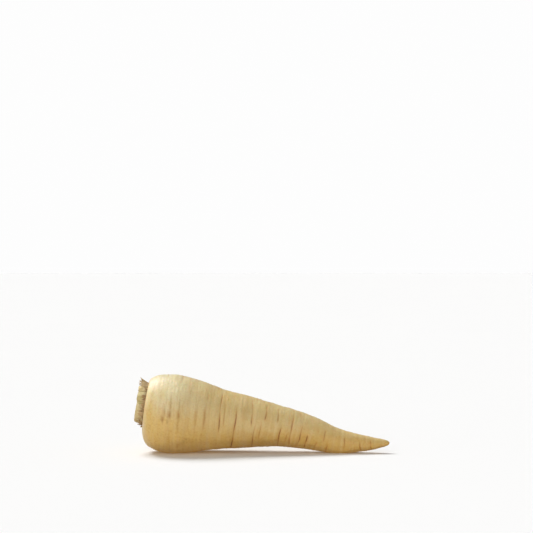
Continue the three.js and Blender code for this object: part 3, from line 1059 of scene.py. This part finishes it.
def skin_finish():
    """Cream and golden skin with a low sheen, a painted highlight on top of the shoulder and painted warm
    shade below, streaked across, with brown creases and smears.
    """
    skin = Finish(
        "parsnip_skin",
        Specular_IOR_Level=0.45,
        Coat_Weight=0.25,
        Coat_Roughness=0.42,
        Subsurface_Weight=0.2,
        Subsurface_Radius=(1.0, 0.45, 0.16),
        Subsurface_Scale=2.2 * MM,
    )
    straight = skin.layer("straight", "Vector")
    mottle = skin.noise(straight, 60, 4, 0.6)
    speckle = skin.noise(straight, 640, 3, 0.65)
    bands = skin.noise(skin.stretched(straight, (1, 0.06, 0.06)), 260, 2, 0.5)
    across = skin.noise(skin.stretched(straight, (1, 0.05, 0.05)), 700, 2, 0.5)
    grain = skin.noise(skin.stretched(straight, (1, 0.4, 0.4)), 2600, 2, 0.6)

    base = skin_ground(skin, mottle, speckle)
    base = skin_streaks(skin, base, straight, bands, across, grain)
    base = skin_marks(skin, base, straight, speckle, grain)
    ridges = skin.maths("ADD", skin.spread(across, 0, 1, 0, 0.5), skin.spread(bands, 0, 1, 0, 0.5))
    normal = skin.bump(ridges, 0.1, 0.12)
    normal = skin.bump(speckle, 0.1, 0.25, normal)
    normal = skin.bump(grain, 0.04, 0.3, normal)
    rough = skin.spread(mottle, 0.3, 0.7, 0.42, 0.58)
    return skin.link(Base_Color=base, Roughness=rough, Normal=normal)


def stalk_side(stalk, fibre, streak):
    """Yellow-green, or tan where the stalk is dry, with fibres up it and a browner foot, painted shade where
    it sinks into the socket.
    """
    patch = stalk.noise(fibre, 260, 3, 0.6)
    shade = stalk.spread(patch, 0.35, 0.65)
    uneven = stalk.spread(stalk.noise(fibre, 120, 3), 0.3, 0.7, -0.3, 0.3)
    dry = stalk.maths("ADD", stalk.layer("dry"), uneven)
    green, tan = (stalk.mix(shade, *pair) for pair in (STALK_GREEN, STALK_TAN))
    side = stalk.mix(stalk.spread(dry, 0.1, 0.9), green, tan)
    side = stalk.mix(stalk.spread(streak, 0.45, 0.7, 0, 0.7), side, STALK_PALE_FIBRE)
    side = stalk.mix(stalk.spread(streak, 0.42, 0.28, 0, 0.6), side, STALK_DARK_FIBRE)
    # painted shade: browner low down, where the stalk sinks into the socket
    height = stalk.maths("ADD", stalk.layer("height"), stalk.spread(patch, 0.3, 0.7, -1.2 * MM, 1.2 * MM))
    return stalk.mix(stalk.spread(height, 1.8 * MM, -1.4 * MM, 0, 0.8), side, STALK_FOOT_SHADE)


def stalk_face(stalk, fibre, pith):
    """The knife's cut: tan pith, dotted with cut fibres near its greener edge."""
    depth = stalk.maths("ABSOLUTE", stalk.layer("depth"), 0)
    dots = stalk.add(
        "ShaderNodeTexVoronoi",
        {"Vector": stalk.stretched(fibre, (1, 1, 0)), "Scale": 900.0, "Randomness": 0.7},
        out="Distance",
    )
    dotted = stalk.maths("MULTIPLY", stalk.spread(dots, 0.32, 0.18), stalk.spread(depth, 0.25, 0.5))
    face = stalk.mix(stalk.spread(pith, 0.35, 0.7), *PITH)
    face = stalk.mix(stalk.maths("MULTIPLY", dotted, 0.75), face, PITH_DOTS)
    return stalk.mix(stalk.spread(depth, 0.8, 1.0, 0, 0.8), face, CUT_EDGE)


def stalk_finish():
    """Yellow-green ribbed stalk, tan and dotted where it is cut, browner at its foot, painted shade down in
    the socket.
    """
    stalk = Finish(
        "cut_stalk",
        Roughness=0.55,
        Specular_IOR_Level=0.35,
        Subsurface_Weight=0.1,
        Subsurface_Radius=(0.8, 0.7, 0.25),
        Subsurface_Scale=1.2 * MM,
    )
    fibre = stalk.layer("fibre", "Vector")
    streak = stalk.noise(stalk.stretched(fibre, (1, 1, 0.07)), 1500, 3, 0.6)
    pith = stalk.noise(fibre, 700, 3, 0.6)
    side, face = stalk_side(stalk, fibre, streak), stalk_face(stalk, fibre, pith)
    base = stalk.mix(stalk.spread(stalk.layer("cut"), 0.35, 0.65), side, face)
    relief = stalk.maths("ADD", stalk.spread(streak, 0, 1, 0, 0.8), stalk.spread(pith, 0, 1, 0, 0.4))
    return stalk.link(Base_Color=base, Normal=stalk.bump(relief, 0.25, 0.6))


def scale_finish():
    """Dry brown fibrous scale, paler along some fibres and towards its torn tip."""
    scale = Finish("dry_leaf_base", Roughness=0.85, Specular_IOR_Level=0.2)
    fibre = scale.layer("fibre", "Vector")
    streak = scale.noise(scale.stretched(fibre, (1, 1, 0.06)), 1700, 3, 0.65)
    patch = scale.noise(fibre, 330, 3, 0.6)
    base = scale.mix(scale.spread(patch, 0.35, 0.68), *SCALE_BROWN)
    base = scale.mix(scale.spread(streak, 0.5, 0.68, 0, 0.75), base, SCALE_PALE_FIBRE)
    base = scale.mix(scale.spread(streak, 0.42, 0.3, 0, 0.75), base, SCALE_DARK_FIBRE)
    base = scale.mix(scale.spread(scale.layer("tip"), 0.3, 1.0, 0, 0.75), base, SCALE_TIP)
    return scale.link(Base_Color=base, Normal=scale.bump(streak, 0.3, 0.7))


# ---------- assembly ----------

def dress(piece, material, node):
    """Gives a finished piece its material, and puts it in the place of its solid."""
    piece.data.materials.clear()
    piece.data.materials.append(material)
    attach(piece, "root")
    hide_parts(node)


def root_shift():
    """What moves the root from its own lengthwise measure to where its solid lies."""
    _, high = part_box("root")
    widths = [
        ring_at(place).y + side * ring_at(place).radius
        for place in np.linspace(SHOULDER_RING, SHOULDER_RING + 4, 60)
        for side in (-1, 1)
    ]
    middle = (min(widths) + max(widths)) / 2
    return Vector((high.x / MM - TIP_X, -middle, 0))


shift = root_shift()
root = make_root(shift)
dress(root, skin_finish(), "root")
dress(put_on_crown(make_stalks(), shift), stalk_finish(), "leaf_stalks")
dress(put_on_crown(make_scales(), shift), scale_finish(), "dry_leaf_bases")


# ---------- floor, light and camera ----------

FLOOR_SIZE = 60.0  # in metres, as the camera's distance is
VIEW_WIDTH = 375.5 * MM  # what the view takes in from side to side, where the parsnip lies
CAMERA_AWAY = 1.1
CAMERA_HEIGHT = 131 * MM
CAMERA_ASIDE = 3.1 * MM
# Lamps: name, direction that the light comes from, power, how wide the lamp looks (degrees), and tint.
Lamp = namedtuple("Lamp", "name from_where power spread tint")
LAMPS = (
    Lamp("overhead_softbox", (-0.42, 0.44, 0.85), 2.72, 34, (1, 0.99, 0.97)),
    Lamp("front_fill", (-0.35, -0.9, 0.35), 1.0, 50, (1, 0.98, 0.94)),
)
# What lights the parsnip besides the lamps, by height: -1 straight down, 0 level, 1 overhead.
AIR = (
    (-1, (0.1, 0.05, 0.02)),
    (-0.75, (0.34, 0.2, 0.11)),
    (-0.4, (0.88, 0.71, 0.5)),
    (-0.1, (1.36, 1.25, 1.05)),
    (-0.01, (1.36, 1.28, 1.12)),
    (0.01, (0.5, 0.5, 0.5)),
    (0.3, (0.42, 0.42, 0.42)),
    (0.5, (0.25, 0.25, 0.25)),
    (1, (0.25, 0.25, 0.25)),
)
BACKDROP = (0.985, 0.985, 0.985, 1)  # a linear colour, as the paper's two shades are
PAPER = ((0.885, 0.89, 0.9, 1), (0.895, 0.9, 0.91, 1))


def make_floor():
    """A paper floor that takes the shadow but throws no diffuse light back up."""
    deselect()
    bpy.ops.mesh.primitive_plane_add(size=FLOOR_SIZE)
    floor = new_piece("studio_floor")
    paper = Finish("studio_paper", Roughness=1, Specular_IOR_Level=0)
    cloud = paper.noise(paper.place(), 3)
    floor.data.materials.append(paper.link(Base_Color=paper.mix(cloud, *PAPER)))
    floor.visible_diffuse = False


def hang_lamp(lamp):
    """A light so far away that it falls evenly on all of the floor."""
    deselect()
    turn = Vector(lamp.from_where).to_track_quat("Z", "Y").to_euler()
    bpy.ops.object.light_add(type="SUN", location=lamp.from_where, rotation=turn)
    light = bpy.context.object
    light.name = lamp.name
    light.data.energy = lamp.power
    light.data.angle = math.radians(lamp.spread)
    light.data.color = lamp.tint


def make_air():
    """Soft light from all round, warm and dimming below as if among other roots, and a white backdrop."""
    world = bpy.data.worlds.new("studio_air")
    world.use_nodes = True
    nodes, links = world.node_tree.nodes, world.node_tree.links
    direction = nodes.new("ShaderNodeTexCoord").outputs["Generated"]
    height = nodes.new("ShaderNodeSeparateXYZ")
    links.new(direction, height.inputs[0])
    share = nodes.new("ShaderNodeMapRange")
    share.inputs["From Min"].default_value = -1
    links.new(height.outputs["Z"], share.inputs["Value"])
    ramp = nodes.new("ShaderNodeValToRGB")
    stops = ramp.color_ramp.elements
    stops[0].color, stops[1].color = ((*tint, 1) for _, tint in (AIR[0], AIR[-1]))
    for high, tint in AIR[1:-1]:
        stops.new((high + 1) / 2).color = (*tint, 1)
    links.new(share.outputs["Result"], ramp.inputs[0])
    backdrop = nodes.new("ShaderNodeBackground")
    backdrop.inputs["Color"].default_value = BACKDROP
    either = nodes.new("ShaderNodeMixShader")
    links.new(nodes.new("ShaderNodeLightPath").outputs["Is Camera Ray"], either.inputs[0])
    links.new(nodes["Background"].outputs[0], either.inputs[1])
    links.new(backdrop.outputs[0], either.inputs[2])
    links.new(either.outputs[0], nodes["World Output"].inputs["Surface"])
    links.new(ramp.outputs["Color"], nodes["Background"].inputs["Color"])
    bpy.context.scene.world = world


def make_studio():
    """The floor, the light, and a view that shows colours as they are set."""
    make_floor()
    make_air()
    for lamp in LAMPS:
        hang_lamp(lamp)
    bpy.context.scene.view_settings.view_transform = "Standard"


def make_camera():
    """A level camera, far enough away that the parsnip shows little perspective."""
    deselect()
    bpy.ops.object.camera_add(
        location=(CAMERA_ASIDE, -CAMERA_AWAY, CAMERA_HEIGHT), rotation=(math.pi / 2, 0, 0)
    )
    camera = bpy.context.object
    camera.name = "camera"
    camera.data.lens = camera.data.sensor_width * CAMERA_AWAY / VIEW_WIDTH
    bpy.context.scene.camera = camera


make_studio()
make_camera()
